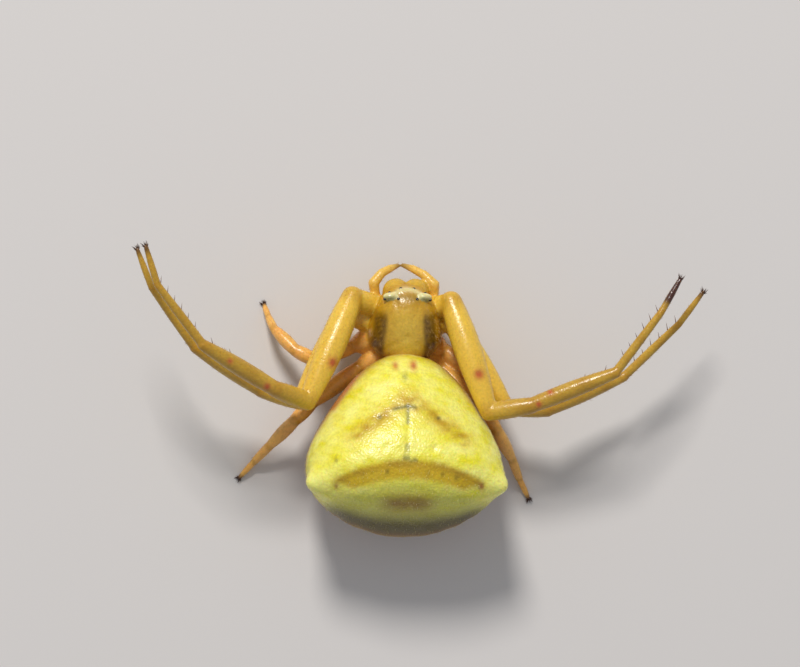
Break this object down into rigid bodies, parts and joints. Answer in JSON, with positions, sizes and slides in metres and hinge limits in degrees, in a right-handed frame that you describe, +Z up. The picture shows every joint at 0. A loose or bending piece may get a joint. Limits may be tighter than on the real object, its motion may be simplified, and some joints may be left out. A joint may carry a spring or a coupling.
{
  "type": "crab spider model",
  "caption": "Life-size still model of a female crab spider, front legs held open and sideways, standing on its four hind feet.",
  "frame": {"origin": "on the floor, under the middle of the whole box", "axes": "+Z up, the head faces -Y, the animal's left side is +X"},
  "size_m": [0.0194, 0.0096, 0.0056],
  "materials": {
    "abdomen_skin": "lemon yellow, waxy, slightly translucent, fine pits",
    "carapace_skin": "amber ochre with darker olive side bands, soft gloss",
    "underside_skin": "pale amber, soft gloss",
    "leg_skin": "translucent amber with rust spots, glossy",
    "claw": "dark brown, glossy",
    "eye": "black, wet gloss"
  },
  "bodies": {
    "root": {"abdomen": "abdomen_skin", "carapace": "carapace_skin", "chelicera_left": "carapace_skin", "chelicera_right": "carapace_skin", "eye_front_middle_left": "eye", "eye_front_middle_right": "eye", "eye_front_side_left": "eye", "eye_front_side_right": "eye", "eye_rear_middle_left": "eye", "eye_rear_middle_right": "eye", "eye_rear_side_left": "eye", "eye_rear_side_right": "eye", "fang_left": "claw", "fang_right": "claw", "leg_left_1_coxa": "underside_skin", "leg_left_1_femur": "leg_skin", "leg_left_1_foot": "leg_skin", "leg_left_1_tibia": "leg_skin", "leg_left_2_coxa": "underside_skin", "leg_left_2_femur": "leg_skin", "leg_left_2_foot": "leg_skin", "leg_left_2_tibia": "leg_skin", "leg_left_3_coxa": "underside_skin", "leg_left_3_femur": "leg_skin", "leg_left_3_foot": "leg_skin", "leg_left_3_tibia": "leg_skin", "leg_left_4_coxa": "underside_skin", "leg_left_4_femur": "leg_skin", "leg_left_4_foot": "leg_skin", "leg_left_4_tibia": "leg_skin", "leg_right_1_coxa": "underside_skin", "leg_right_1_femur": "leg_skin", "leg_right_1_foot": "leg_skin", "leg_right_1_tibia": "leg_skin", "leg_right_2_coxa": "underside_skin", "leg_right_2_femur": "leg_skin", "leg_right_2_foot": "leg_skin", "leg_right_2_tibia": "leg_skin", "leg_right_3_coxa": "underside_skin", "leg_right_3_femur": "leg_skin", "leg_right_3_foot": "leg_skin", "leg_right_3_tibia": "leg_skin", "leg_right_4_coxa": "underside_skin", "leg_right_4_femur": "leg_skin", "leg_right_4_foot": "leg_skin", "leg_right_4_tibia": "leg_skin", "mouthparts": "underside_skin", "palp_left_inner": "leg_skin", "palp_left_outer": "leg_skin", "palp_right_inner": "leg_skin", "palp_right_outer": "leg_skin", "pedicel": "underside_skin", "spinnerets": "underside_skin", "sternum": "underside_skin"}
  },
  "joints": []
}
